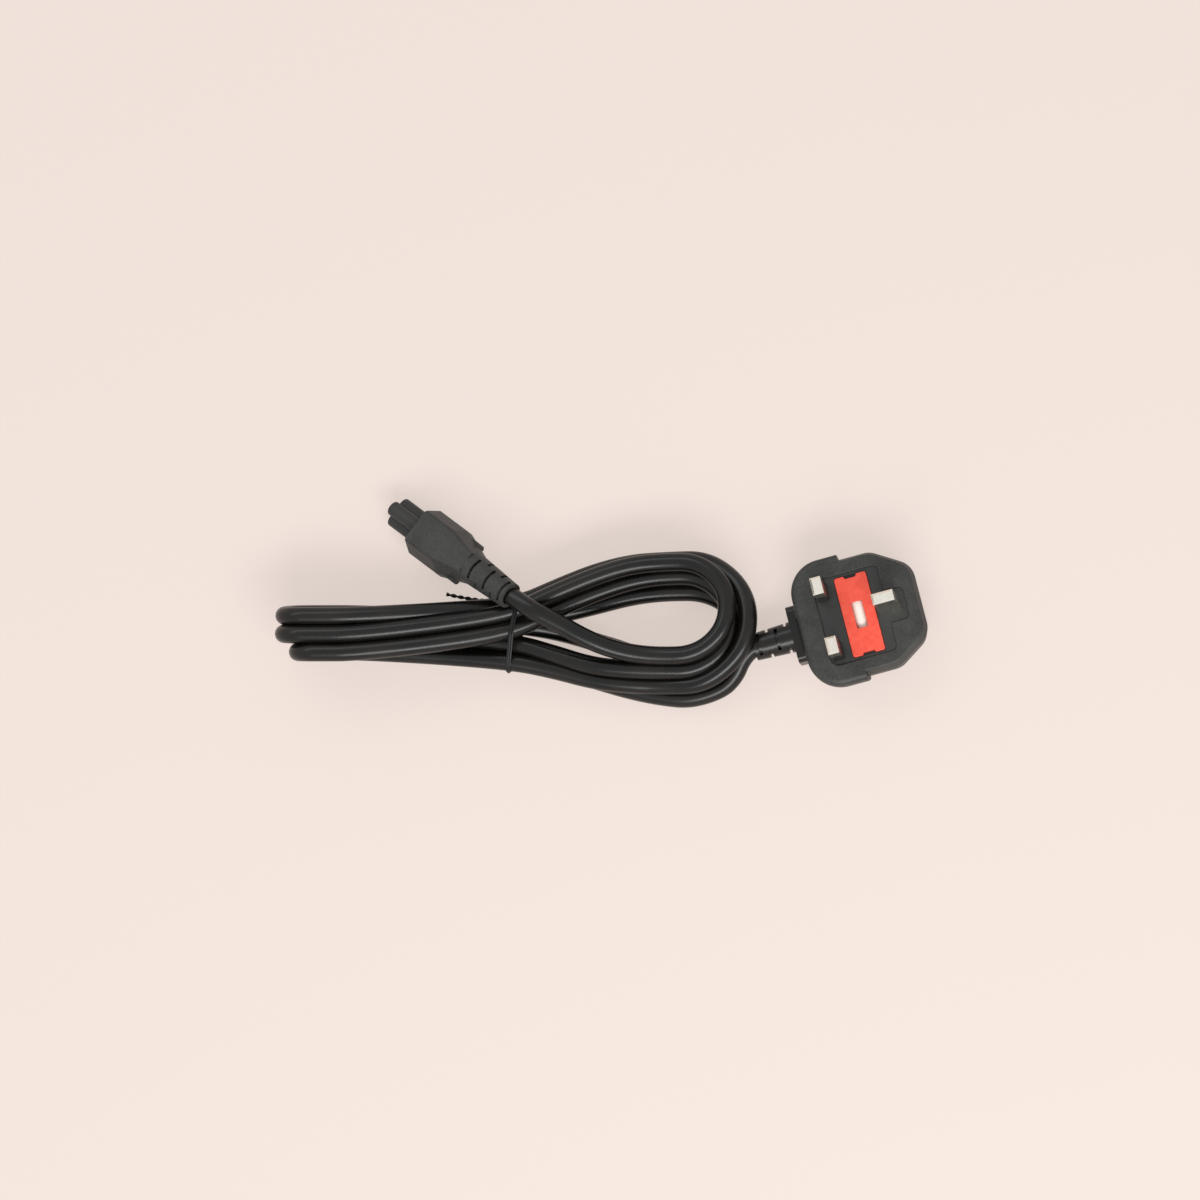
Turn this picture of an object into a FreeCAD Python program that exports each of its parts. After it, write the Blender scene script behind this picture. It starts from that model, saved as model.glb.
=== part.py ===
import FreeCAD, Part
import math
import os

# Mains lead: a moulded three-pin plug lying on its back with its pins up, a round flex folded into a
# tied hank, and a three-hole cloverleaf connector. Millimetres. +X runs from the cord to the earth pin,
# +Y to the line pin and +Z along the pins. The origin is under the middle of the plug, on its back.

# Two places that are nearer than this are one place
same_place = 0.0001

# Plug body
body_length = 45.0
body_width = 47.0
body_depth = 18.5
cable_corner_radius = 12.0
block_top_round = 2.4
block_back_round = 2.6
block_waist_height = 13.0
block_side_draft = 2.6
block_end_draft = 0.8
step_from_row = 8.0
earth_part_width = 43.4
earth_end_width = 26.0
earth_taper_length = 13.7
earth_taper_radius = 8.0
earth_end_radius = 8.0
rim_height = 4.0
rim_flare = 1.3
rim_edge_round = 0.7
rim_setback = 0.5
earth_draft = 1.2
earth_back_round = 2.0
recess_depth = 0.7
recess_edge_round = 0.45

# Pins
row_from_cable_edge = 11.5
pin_pitch = 22.23
earth_pin_offset = 22.23
live_pin_width = 6.35
earth_pin_width = 7.95
pin_thickness = 4.0
live_pin_length = 17.7
earth_pin_length = 22.73
pin_tip_chamfer = 0.8
sleeve_length = 9.3
sleeve_wall = 0.6
earth_neck_inset = 0.6

# Fuse and its carrier
fuse_off_centre = 0.87
fuse_length = 25.4
fuse_cap_radius = 3.175
fuse_cap_length = 5.6
fuse_cap_wall = 0.3
carrier_end_margin = 2.05
carrier_side_margin = 2.775
carrier_plate = 1.2
carrier_corner_radius = 0.9
carrier_edge_round = 0.25
carrier_notch_width = 3.8
carrier_notch_depth = 1.0
carrier_window_length = 9.8
carrier_window_width = 4.0
cradle_length = 12.0
cradle_wall = 1.3
cradle_wrap = 1.3
end_stop_thickness = 1.1
end_stop_width = 5.0
slide_clearance = 0.2
fuse_seat_clearance = 0.08
cap_clearance = 0.03

# Bridge, clips, crimps and cores
bridge_margin = 1.0
bridge_floor = 1.67
bridge_earth_gap = 4.2
bridge_tongue_margin = 4.0
tongue_share = 0.38
bridge_corner_radius = 2.0
bridge_front_radius = 3.0
bridge_inner_radius = 1.0
pocket_floor_gap = 0.3
clip_sheet = 0.6
clip_width = 4.2
clip_gap = 0.1
clip_reach = 1.2
crimp_wall = 0.52
crimp_length = 3.2
crimp_end_wall = 0.8
core_radius = 1.2
core_clearance = 0.03
core_spacing = 0.5
neutral_turn_gap = 2.0
line_bend_start = 3.2
line_bend_end = 9.0
earth_bend_start = 6.0
earth_bend_end = 15.0
neutral_crimp_height = 6.4
earth_crimp_height = 5.2
load_crimp_height = 6.2
crimp_tail_margin = 0.4

# Cord and the plug's guard
cord_diameter = 6.8
cord_exit_height = 8.5
cord_clearance = 0.05
sheath_in_plug = 1.2
guard_gap = 0.4
flange_thickness = 3.0
flange_width = 21.0
flange_height = 11.4
flange_radius = 2.5
guard_neck_side = 2.55
guard_neck_wall = 1.05
guard_neck_depth = 2.0
guard_length = 14.5
guard_root_wall = 2.2
guard_end_wall = 1.5
slot_width = 1.2
slot_span = 8.0
slot_floor_wall = 0.7
slot_margin = 1.45
guard_slots = 4

# Connector, built along its own +X from the nose
nose_length = 14.5
nose_back_margin = 3.2
nose_edge_round = 0.4
lobe_radius = 2.8
contact_spacing = 6.2
contact_rise = 4.4
entry_radius = 1.4
entry_length = 3.0
contact_wall = 0.57
contact_bore_radius = 1.2
contact_tube_length = 9.0
contact_crimp_length = 5.0
shell_wall = 1.6
shell_side_wall = 3.7
shell_waist = 5.2
shell_corner_radius = 1.6
shell_edge_round = 0.6
shell_straight = 15.0
shell_taper = 11.5
taper_end_step = 0.12
taper_end_slant = 1.8
taper_end_waist = 5.0
ledge_start = 12.5
ledge_length = 10.0
ledge_height = 4.6
ledge_setback = 1.0
ledge_round = 1.2
boot_length = 20.5
boot_root_wall = 2.55
boot_end_wall = 1.45
boot_slot_margin = 3.4
boot_end_margin = 1.0
boot_slots = 5
sheath_in_boot = 18.5
core_bend_start = 6.0
core_bend_end = 16.0

# How the connector lies, in the frame of the hank
hank_turn = -15.2
connector_tip = (-173.1, 40.9)
connector_yaw = -36.7
connector_pitch = 18.8
connector_roll = 0.5

# Hank and tie, in the frame of the hank. Outlines are (x, y, corner radius).
ring_outer = [
    (-122.0, 5.0, 8.0), (-99.0, 17.5, 20.0), (-75.0, 24.6, 20.0), (-50.0, 23.6, 12.0),
    (-37.4, 8.0, 10.0), (-41.8, -8.6, 10.0), (-52.0, -27.0, 10.0), (-74.0, -30.8, 20.0),
    (-98.0, -27.2, 20.0), (-122.0, -18.0, 8.0),
]
ring_hole = [
    (-117.0, -3.6, 2.0), (-88.0, 4.6, 12.0), (-70.0, 7.2, 10.0), (-52.0, 3.6, 4.0),
    (-55.0, -12.0, 6.0), (-72.0, -17.0, 10.0), (-96.0, -15.6, 12.0),
]
ring_height = 14.0
ring_round = 3.5
lobe_end = -216.5
lobe_start = -133.0
lobe_end_height = 28.5
lobe_neck_height = 19.0
lobe_width = 21.0
lobe_centre = -7.8
lobe_round = 3.0
lobe_end_radius = 12.8
neck_length = 13.0
neck_strands = [(-12.6, 4.7), (1.0, 4.7), (4.4, 10.6), (1.0, 16.5), (-5.8, 16.5), (-16.0, 10.6)]
tie_place = -126.5
tie_width = 1.7
tie_thickness = 0.9
tie_gap = 0.05
tie_tail_radius = 0.75
tie_tail = [(-126.5, 6.5, 5.5), (-140.0, 6.4, 5.8), (-153.2, 9.5, 6.0)]

# The cord's route outside the hank, in the frame of the hank
lead_straight = 3.0
lead_route = [(-43.8, -17.2, 7.0), (-51.0, -25.4, 5.0), (-62.5, -29.0, 4.0)]
tail_route = [
    (-109.0, -4.4, 24.0),
    (-98.0, -11.0, 21.4),
    (-87.0, -14.2, 18.6),
    (-74.5, -15.6, 15.8),
    (-62.5, -15.0, 11.4),
]

# Places worked out from the sizes above
cable_x = -body_length / 2
end_x = body_length / 2
row_x = cable_x + row_from_cable_edge
earth_x = row_x + earth_pin_offset
free_start = row_x + pin_thickness / 2
free_end = earth_x - earth_pin_width / 2
fuse_x = (free_start + free_end) / 2 + fuse_off_centre
carrier_length = fuse_length + 2 * carrier_end_margin
carrier_width = 2 * (fuse_cap_radius + carrier_side_margin)
step_x = row_x + step_from_row
live_y = pin_pitch / 2
face_z = body_depth
bridge_top = face_z - recess_depth
plate_bottom = face_z - carrier_plate
fuse_z = plate_bottom - fuse_seat_clearance - fuse_cap_radius
fuse_end = fuse_length / 2
cap_middle = fuse_end - fuse_cap_length / 2
clip_base_top = fuse_z - fuse_cap_radius - clip_gap
clip_base = clip_base_top - clip_sheet
bridge_bottom = clip_base - bridge_floor
neck_thickness = pin_thickness - 2 * sleeve_wall
live_neck_width = live_pin_width - 2 * sleeve_wall
earth_neck_width = earth_pin_width - 2 * earth_neck_inset
neutral_face = row_x - neck_thickness / 2
earth_face = earth_x - earth_neck_width / 2
core_bore = core_radius + core_clearance
core_gather = core_radius + core_spacing / 2
crimp_radius = core_bore + crimp_wall
load_crimp_x = fuse_x - fuse_cap_radius
load_crimp_y = -(cap_middle - clip_width / 2 - crimp_radius - clip_sheet)
cord_radius = cord_diameter / 2
cord_bore = cord_radius + cord_clearance
slot_floor = cord_bore + slot_floor_wall
flange_x = cable_x - guard_gap
guard_x = flange_x - flange_thickness
exit_x = guard_x - guard_length
guard_slot_pitch = (guard_length - slot_width - 2 * slot_margin) / (guard_slots - 1)
lobe_low = -contact_rise / 2
lobe_high = contact_rise / 2
contacts = {
    "line": (contact_spacing / 2, lobe_low),
    "neutral": (-contact_spacing / 2, lobe_low),
    "earth": (0.0, lobe_high),
}
contact_radius = core_bore + contact_wall
contact_end = entry_length + contact_tube_length
contact_crimp_end = contact_end + contact_crimp_length
shank_end = contact_crimp_end + nose_back_margin
shell_width = contact_spacing + 2 * lobe_radius + 2 * shell_side_wall
shell_top_width = 2 * lobe_radius + 2 * shell_side_wall
shell_height = contact_rise + 2 * lobe_radius + 2 * shell_wall
boot_x = nose_length + shell_straight + shell_taper
boot_root_radius = cord_bore + boot_root_wall
boot_slot_room = boot_length - slot_width - boot_slot_margin - boot_end_margin
boot_slot_pitch = boot_slot_room / (boot_slots - 1)
connector_length = boot_x + boot_length
sheath_x = connector_length - sheath_in_boot

X = FreeCAD.Vector(1, 0, 0)
Y = FreeCAD.Vector(0, 1, 0)
Z = FreeCAD.Vector(0, 0, 1)
vector = FreeCAD.Vector


def placed(shape, placement):
    """A copy of a shape, moved and turned as one rigid piece."""
    moved = shape.copy()
    moved.Placement = placement.multiply(shape.Placement)
    return moved


def block(low, high):
    """A box between two corners."""
    return Part.makeBox(high[0] - low[0], high[1] - low[1], high[2] - low[2], vector(*low))


def rod(start, axis, radius, length):
    return Part.makeCylinder(radius, length, vector(*start), axis)


def outline(corners, z=0.0):
    """A closed wire through (x, y, radius) corners, with an arc at each corner that has a radius."""
    edges = []
    points = [vector(x, y, z) for x, y, r in corners]
    ends = []
    for i, (x, y, radius) in enumerate(corners):
        here = points[i]
        back = (points[i - 1] - here).normalize()
        ahead = (points[(i + 1) % len(points)] - here).normalize()
        if radius == 0:
            ends.append((here, here, here))
            continue
        half = back.getAngle(ahead) / 2
        reach = radius / math.tan(half)
        middle = (back + ahead).normalize()
        nearest = here + middle * (radius / math.sin(half) - radius)
        ends.append((here + back * reach, nearest, here + ahead * reach))
    for i, (start, nearest, end) in enumerate(ends):
        if corners[i][2]:
            edges.append(Part.Arc(start, nearest, end).toShape())
        following = ends[(i + 1) % len(ends)][0]
        if end.distanceToPoint(following) > same_place:
            edges.append(Part.LineSegment(end, following).toShape())
    return Part.Wire(edges)


def prism(corners, low, high):
    """A rounded outline raised from one height to another."""
    return Part.Face(outline(corners, low)).extrude(vector(0, 0, high - low))


def mirrored(half):
    """A closed outline from its corners on the +Y side, given from -X to +X."""
    return half + [(x, -y, r) for x, y, r in reversed(half)]


def edges_at(shape, z, keep):
    """The edges that lie at one height and whose middle passes a test."""
    found = []
    for edge in shape.Edges:
        box = edge.BoundBox
        level = abs(box.ZMin - z) < same_place and abs(box.ZMax - z) < same_place
        if level and keep(edge.CenterOfMass):
            found.append(edge)
    return found


def rounded(shape, z, radius, keep=lambda point: True):
    return shape.makeFillet(radius, edges_at(shape, z, keep))


def route_wire(points, name):
    """Straight runs joined by tangent arcs as large as the runs allow, and the radii that gives."""
    points = [vector(*p) for p in points]
    edges = []
    radii = []
    at = points[0]
    for before, here, after in zip(points, points[1:], points[2:]):
        back = (before - here).normalize()
        ahead = (after - here).normalize()
        reach = 0.45 * min((before - here).Length, (after - here).Length)
        turn = math.pi - back.getAngle(ahead)
        radius = reach / math.tan(turn / 2)
        middle = (back + ahead).normalize()
        nearest = here + middle * (radius / math.cos(turn / 2) - radius)
        start = here + back * reach
        end = here + ahead * reach
        edges.append(Part.LineSegment(at, start).toShape())
        edges.append(Part.Arc(start, nearest, end).toShape())
        radii.append(radius)
        at = end
    edges.append(Part.LineSegment(at, points[-1]).toShape())
    wire = Part.Wire(edges)
    print(name, "length", round(wire.Length, 1), "radii", [round(r, 1) for r in radii])
    return wire


def tube(points, radius, name):
    """A round solid along a route."""
    wire = route_wire(points, name)
    start = vector(*points[0])
    ahead = (vector(*points[1]) - start).normalize()
    section = Part.Wire(Part.Circle(start, ahead, radius).toShape())
    solid = wire.makePipeShell([section], True, False)
    expected = math.pi * radius ** 2 * wire.Length
    print(name, "volume over section times length", round(solid.Volume / expected, 4))
    return solid


def fuse_all(shapes):
    joined = shapes[0].multiFuse(shapes[1:]) if len(shapes) > 1 else shapes[0]
    return joined.removeSplitter()


def cut_all(shape, tools):
    left = shape.cut(tools)
    return left.Solids[0] if len(left.Solids) == 1 else left


# Plug


def plug_outside():
    """A rounded block on the cord's side, and a drafted part with a rim on the earth pin's side."""
    off_step = lambda point: point.x < step_x - same_place

    def block_corners(side, end):
        half = body_width / 2 - side
        return mirrored([(cable_x + end, half, cable_corner_radius), (step_x, half, 0)])

    band = prism(block_corners(0, 0), block_waist_height, face_z)
    band = rounded(band, face_z, block_top_round, off_step)
    waist = outline(block_corners(0, 0), block_waist_height)
    base = outline(block_corners(block_side_draft, block_end_draft), 0)
    back = Part.makeLoft([waist, base], True, True)
    back = rounded(back, 0, block_back_round, off_step)

    def earth_corners(inset):
        return mirrored([
            (step_x - rim_setback - earth_draft, earth_part_width / 2 - inset, 0),
            (end_x - earth_taper_length, earth_part_width / 2 - inset, earth_taper_radius),
            (end_x - inset, earth_end_width / 2 - inset / 2, earth_end_radius - inset / 2),
        ])

    inner_end = step_x - rim_setback - earth_draft
    edge = outline(earth_corners(0), face_z - rim_height)
    rim = Part.makeLoft([outline(earth_corners(rim_flare), face_z), edge], True, True)
    rim = rounded(rim, face_z, rim_edge_round, lambda point: point.x > inner_end + same_place)
    upper = outline(earth_corners(rim_setback), face_z - rim_height)
    lower = outline(earth_corners(rim_setback + earth_draft), 0)
    grip = Part.makeLoft([upper, lower], True, True)
    grip = rounded(grip, 0, earth_back_round, lambda point: point.x > step_x)
    return fuse_all([band, back, rim, grip])


def bridge_corners():
    """The bridge's outline: the pins' row, the carrier and a tongue round the earth pin."""
    front = free_start - pin_thickness - bridge_margin
    back = fuse_x + carrier_width / 2 + bridge_earth_gap
    pin_face = earth_x + earth_pin_width / 2
    end_wall = end_x - rim_flare - rim_edge_round - pin_face
    tip = pin_face + tongue_share * end_wall
    side = max(carrier_length / 2 + slide_clearance, live_y + live_pin_width / 2) + bridge_margin
    tongue = pin_thickness / 2 + bridge_tongue_margin
    return mirrored([
        (front, side, bridge_front_radius),
        (back, side, bridge_corner_radius),
        (back, tongue, bridge_inner_radius),
        (tip, tongue, bridge_corner_radius),
    ])


def live_pin(y, tail_z):
    """A blade whose tip has the full section, on a neck that the sleeve and the bridge hold."""
    shoulder = face_z + sleeve_length
    top = face_z + live_pin_length
    neck = block(
        (row_x - neck_thickness / 2, y - live_neck_width / 2, tail_z),
        (row_x + neck_thickness / 2, y + live_neck_width / 2, shoulder),
    )
    tip = block(
        (row_x - pin_thickness / 2, y - live_pin_width / 2, shoulder),
        (row_x + pin_thickness / 2, y + live_pin_width / 2, top),
    )
    tip = tip.makeChamfer(pin_tip_chamfer, edges_at(tip, top, lambda point: True))
    return fuse_all([neck, tip])


def pin_sleeve(y, pin):
    sleeve = block(
        (row_x - pin_thickness / 2, y - live_pin_width / 2, bridge_top),
        (row_x + pin_thickness / 2, y + live_pin_width / 2, face_z + sleeve_length),
    )
    return cut_all(sleeve, [pin])


def earth_pin(tail_z):
    """The longer blade. Its shoulder stands on the bridge."""
    top = face_z + earth_pin_length
    blade = block(
        (earth_x - earth_pin_width / 2, -pin_thickness / 2, bridge_top),
        (earth_x + earth_pin_width / 2, pin_thickness / 2, top),
    )
    blade = blade.makeChamfer(pin_tip_chamfer, edges_at(blade, top, lambda point: True))
    neck = block(
        (earth_x - earth_neck_width / 2, -neck_thickness / 2, tail_z),
        (earth_x + earth_neck_width / 2, neck_thickness / 2, bridge_top),
    )
    return fuse_all([blade, neck])


def fuse_cylinder(radius, low, high):
    return rod((fuse_x, low, fuse_z), Y, radius, high - low)


def fuse_carrier():
    """A plate flush with the face, a cradle that wraps the fuse, and a stop beyond each cap."""
    side = carrier_width / 2
    end = carrier_length / 2
    notch = carrier_notch_width / 2
    slope = carrier_notch_depth / 2
    corners = mirrored([
        (fuse_x - side, end, carrier_corner_radius),
        (fuse_x - notch - slope, end, 0),
        (fuse_x - notch, end - carrier_notch_depth, 0),
        (fuse_x + notch, end - carrier_notch_depth, 0),
        (fuse_x + notch + slope, end, 0),
        (fuse_x + side, end, carrier_corner_radius),
    ])
    plate = prism(corners, plate_bottom, face_z)
    cradle_half = fuse_cap_radius + fuse_seat_clearance + cradle_wall
    cradle = block(
        (fuse_x - cradle_half, -cradle_length / 2, fuse_z - cradle_wrap),
        (fuse_x + cradle_half, cradle_length / 2, plate_bottom),
    )
    stops = []
    for sign in (1, -1):
        near = sign * (fuse_end + fuse_seat_clearance)
        far = near + sign * end_stop_thickness
        stops.append(block(
            (fuse_x - end_stop_width / 2, min(near, far), fuse_z - cradle_wrap),
            (fuse_x + end_stop_width / 2, max(near, far), plate_bottom),
        ))
    whole = fuse_all([plate, cradle] + stops)
    window = block(
        (fuse_x - carrier_window_width / 2, -carrier_window_length / 2, fuse_z),
        (fuse_x + carrier_window_width / 2, carrier_window_length / 2, face_z),
    )
    seat = fuse_cylinder(fuse_cap_radius + fuse_seat_clearance, -cradle_length, cradle_length)
    whole = cut_all(whole, [window, seat])
    return rounded(whole, face_z, carrier_edge_round)


def fuse_cap(sign):
    """A plated cup on the end of the barrel."""
    low = min(sign * fuse_end, sign * (fuse_end - fuse_cap_length))
    cup = fuse_cylinder(fuse_cap_radius, low, low + fuse_cap_length)
    inside = fuse_end - fuse_cap_wall
    return cut_all(cup, [fuse_cylinder(fuse_cap_radius - fuse_cap_wall, -inside, inside)])


def fuse_barrel():
    inside = fuse_end - fuse_cap_wall
    return fuse_cylinder(fuse_cap_radius - fuse_cap_wall - cap_clearance, -inside, inside)


def fuse_clip(sign):
    """Two spring arms on a base, open towards the pin face."""
    near = fuse_cap_radius + clip_gap
    low = sign * cap_middle - clip_width / 2
    high = sign * cap_middle + clip_width / 2
    arms = []
    for side in (1, -1):
        x0 = fuse_x + side * near
        x1 = fuse_x + side * (near + clip_sheet)
        arms.append(block((min(x0, x1), low, clip_base), (max(x0, x1), high, fuse_z + clip_reach)))
    base = block((fuse_x - near, low, clip_base), (fuse_x + near, high, clip_base_top))
    return [base] + arms


def line_fuse_clip():
    """The clip on the line pin's side, with a strip welded to the pin's neck."""
    strip = block(
        (row_x + neck_thickness / 2, cap_middle - clip_width / 2, clip_base),
        (fuse_x - fuse_cap_radius - clip_gap, cap_middle + clip_width / 2, clip_base_top),
    )
    return fuse_all(fuse_clip(1) + [strip])


def crimp(face_x, y, z):
    """A closed barrel whose end stands on the face at face_x. Its mouth looks to -X."""
    barrel = rod((face_x - crimp_length, y, z), X, crimp_radius, crimp_length)
    bore = rod((face_x - crimp_length, y, z), X, core_bore, crimp_length - crimp_end_wall)
    return barrel.cut(bore)


def load_fuse_clip():
    """The clip on the load side. Its tail drops through the bridge to a crimp for the line core."""
    half = crimp_radius
    low = -cap_middle + clip_width / 2
    strip = block(
        (load_crimp_x, low, clip_base),
        (load_crimp_x + 2 * half, load_crimp_y + half, clip_base_top),
    )
    drop = block(
        (load_crimp_x, load_crimp_y - half, load_crimp_height - half),
        (load_crimp_x + clip_sheet, load_crimp_y + half, clip_base_top),
    )
    return fuse_all(fuse_clip(-1) + [strip, drop, crimp(load_crimp_x, load_crimp_y, load_crimp_height)])


def pocket():
    """The room in the bridge for the carrier and its fuse, with running clearance."""
    side = carrier_width / 2 + slide_clearance
    end = carrier_length / 2 + slide_clearance
    corner = carrier_corner_radius + slide_clearance
    plate = prism(
        mirrored([(fuse_x - side, end, corner), (fuse_x + side, end, corner)]), plate_bottom, face_z
    )
    half = fuse_cap_radius + fuse_seat_clearance + cradle_wall + slide_clearance
    reach = fuse_end + fuse_seat_clearance + end_stop_thickness + slide_clearance
    floor = fuse_z - fuse_cap_radius - pocket_floor_gap
    return [plate, block((fuse_x - half, -reach, floor), (fuse_x + half, reach, face_z))]


def core_routes():
    """Each core's way from the cut end of the sheath to the bottom of its crimp."""
    start = cable_x + sheath_in_plug
    low = cord_exit_height - core_gather
    high = cord_exit_height + core_gather
    depth = crimp_end_wall + core_clearance
    neutral_turn = neutral_face - crimp_length - neutral_turn_gap
    return {
        "neutral": [
            (start, -core_gather, low),
            (neutral_turn, -core_gather, low),
            (neutral_turn, -live_y, neutral_crimp_height),
            (neutral_face - depth, -live_y, neutral_crimp_height),
        ],
        "line": [
            (start, 0, high),
            (start + line_bend_start, 0, high),
            (start + line_bend_end, load_crimp_y, load_crimp_height),
            (load_crimp_x - depth, load_crimp_y, load_crimp_height),
        ],
        "earth": [
            (start, core_gather, low),
            (start + earth_bend_start, core_gather, low),
            (start + earth_bend_end, 0, earth_crimp_height),
            (earth_face - depth, 0, earth_crimp_height),
        ],
    }


def guard_slot_tools(count, pitch, start_x, root, middle_z):
    """Ring segments that slot a cord guard in turn above and below, and at the sides."""
    tools = []
    reach = 2 * root
    span = slot_span / 2
    for i in range(count):
        x = start_x + i * pitch
        inside = rod((x, 0, middle_z), X, slot_floor, slot_width)
        ring = rod((x, 0, middle_z), X, reach, slot_width).cut(inside)
        if i % 2 == 0:
            keep = block((x, -span, middle_z - reach), (x + slot_width, span, middle_z + reach))
        else:
            keep = block((x, -reach, middle_z - span), (x + slot_width, reach, middle_z + span))
        tools.append(ring.common(keep))
    return tools


def across_x(corners, low, high):
    """A (y, z, radius) outline raised along X."""
    turn = FreeCAD.Rotation(Y, Z, X, "XYZ")
    return placed(prism(corners, 0, high - low), FreeCAD.Placement(vector(low, 0, 0), turn))


def plate_corners(width, height, radius, middle_z):
    half = width / 2
    low = middle_z - height / 2
    high = middle_z + height / 2
    return [(-half, low, radius), (half, low, radius), (half, high, radius), (-half, high, radius)]


def guard_neck():
    """The tongue of the guard that the overmould grips."""
    width = 2 * (cord_bore + guard_neck_side)
    height = 2 * (cord_bore + guard_neck_wall)
    corners = plate_corners(width, height, flange_radius, cord_exit_height)
    return across_x(corners, flange_x - flange_thickness / 2, cable_x + guard_neck_depth)


def plug_cord_guard():
    """A flange, its neck, and a tapering boot with staggered slots."""
    corners = plate_corners(flange_width, flange_height, flange_radius, cord_exit_height)
    flange = across_x(corners, guard_x, flange_x)
    axis_point = vector(exit_x, 0, cord_exit_height)
    root = cord_bore + guard_root_wall
    boot = Part.makeCone(cord_bore + guard_end_wall, root, guard_length, axis_point, X)
    bore = rod((exit_x, 0, cord_exit_height), X, cord_bore, body_length)
    first_slot = exit_x + slot_margin
    slots = guard_slot_tools(guard_slots, guard_slot_pitch, first_slot, root, cord_exit_height)
    return cut_all(fuse_all([flange, guard_neck(), boot]), [bore] + slots)


# Connector, along its own +X from the tip of its nose, with the earth lobe up


def cloverleaf(low, high):
    """Three round lobes and the web between them."""
    lobes = [rod((low, y, z), X, lobe_radius, high - low) for y, z in contacts.values()]
    corners = [(y, z, 0) for y, z in contacts.values()]
    return fuse_all([across_x(corners, low, high)] + lobes)


def contact_tube(y, z):
    """A turned socket, closed behind, with a crimp barrel for its core."""
    length = contact_tube_length + contact_crimp_length
    tube_solid = rod((entry_length, y, z), X, contact_radius, length)
    socket = rod((entry_length, y, z), X, contact_bore_radius, contact_tube_length - crimp_end_wall)
    barrel = rod((contact_end, y, z), X, core_bore, contact_crimp_length)
    return tube_solid.cut([socket, barrel])


def connector_nose():
    """The cloverleaf insert: round entries in its face and the sockets behind them."""
    nose = cloverleaf(0, shank_end)
    entries = [rod((0, y, z), X, entry_radius, entry_length) for y, z in contacts.values()]
    for y, z in contacts.values():
        entries.append(rod((entry_length, y, z), X, contact_radius, contact_crimp_end - entry_length))
        entries.append(rod((entry_length, y, z), X, core_bore, shank_end))
    tip = [e for e in nose.Edges if e.BoundBox.XMax < same_place]
    return cut_all(nose.makeFillet(nose_edge_round, tip), entries)


def shell_section(width, top_width, height, waist, x):
    """A six-sided section, narrower at the earth side."""
    half = width / 2
    top = top_width / 2
    low = -height / 2
    ring = [
        (-half, low), (half, low), (half, low + waist),
        (top, height / 2), (-top, height / 2), (-half, low + waist),
    ]
    corners = [(y, z, shell_corner_radius) for y, z in ring]
    turn = FreeCAD.Rotation(Y, Z, X, "XYZ")
    return placed(outline(corners), FreeCAD.Placement(vector(x, 0, 0), turn))


def connector_body(inner):
    """The overmould: a six-sided shell that tapers into a slotted boot, with a ledge on each side."""
    front = shell_section(shell_width, shell_top_width, shell_height, shell_waist, nose_length)
    middle_x = nose_length + shell_straight
    middle = shell_section(shell_width, shell_top_width, shell_height, shell_waist, middle_x)
    across = 2 * (boot_root_radius - taper_end_step)
    back = shell_section(across, across - 2 * taper_end_slant, across, taper_end_waist, boot_x)
    straight = Part.makeLoft([front, middle], True, True)
    mouth = [e for e in straight.Edges if e.BoundBox.XMax < nose_length + same_place]
    straight = straight.makeFillet(shell_edge_round, mouth)
    taper = Part.makeLoft([middle, back], True, True)
    ledges = []
    for sign in (1, -1):
        inside = sign * shell_width / 4
        outside = sign * (shell_width / 2 - ledge_setback)
        start = nose_length + ledge_start
        ledge_top = -shell_height / 2 + shell_waist
        low = (start, min(inside, outside), ledge_top - ledge_height)
        high = (start + ledge_length, max(inside, outside), ledge_top)
        ledge = block(low, high)
        upright = [e for e in ledge.Edges if abs(e.BoundBox.ZLength - ledge_height) < same_place]
        outer = [e for e in upright if abs(e.CenterOfMass.y - outside) < same_place]
        ledges.append(ledge.makeFillet(ledge_round, outer))
    boot = Part.makeCone(boot_root_radius, cord_bore + boot_end_wall, boot_length, vector(boot_x, 0, 0), X)
    bore = rod((sheath_x, 0, 0), X, cord_bore, boot_length + sheath_in_boot)
    slots = guard_slot_tools(boot_slots, boot_slot_pitch, boot_x + boot_slot_margin, boot_root_radius, 0)
    return cut_all(fuse_all([straight, taper, boot] + ledges), [bore] + slots + inner)


def connector_core(name):
    """From its socket's crimp, drawn in to the cut end of the sheath."""
    y, z = contacts[name]
    scale = core_gather / (contact_spacing / 2)
    points = [
        (contact_end + core_clearance, y, z),
        (shank_end + core_bend_start, y, z),
        (shank_end + core_bend_end, y * scale, z * scale),
        (sheath_x, y * scale, z * scale),
    ]
    return tube(points, core_radius, "connector_" + name + "_core")


# Hank and tie, in the frame of the hank


def cord_hank():
    """The outer shape of the folded turns: an open ring, the tied neck and an upright lobe."""
    ring = prism(ring_outer, 0, ring_height).cut(prism(ring_hole, 0, ring_height))
    ring = rounded(ring, ring_height, ring_round)
    ring = rounded(ring, 0, ring_round)
    half = lobe_width / 2
    side = [
        (lobe_end, 0, lobe_end_radius),
        (lobe_start, 0, 2 * lobe_round),
        (lobe_start, lobe_neck_height, 2 * lobe_round),
        (lobe_end, lobe_end_height, lobe_end_radius),
    ]
    lobe = prism(side, -half, half)
    lobe = rounded(lobe, half, lobe_round)
    lobe = rounded(lobe, -half, lobe_round)
    lobe = placed(lobe, FreeCAD.Placement(vector(0, lobe_centre, 0), FreeCAD.Rotation(X, 90)))
    neck = neck_prism(0, neck_length)
    return fuse_all([ring, lobe, neck])


def neck_prism(grow, length):
    """The tied neck's section, drawn tight round its outer strands and grown, at the tie's place."""
    start = tie_place - length / 2
    centres = [vector(start, y, z) for y, z in neck_strands]
    drawn = Part.makePolygon(centres + centres[:1]).makeOffset2D(cord_radius + grow)
    return Part.Face(drawn).extrude(X * length)


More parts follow.
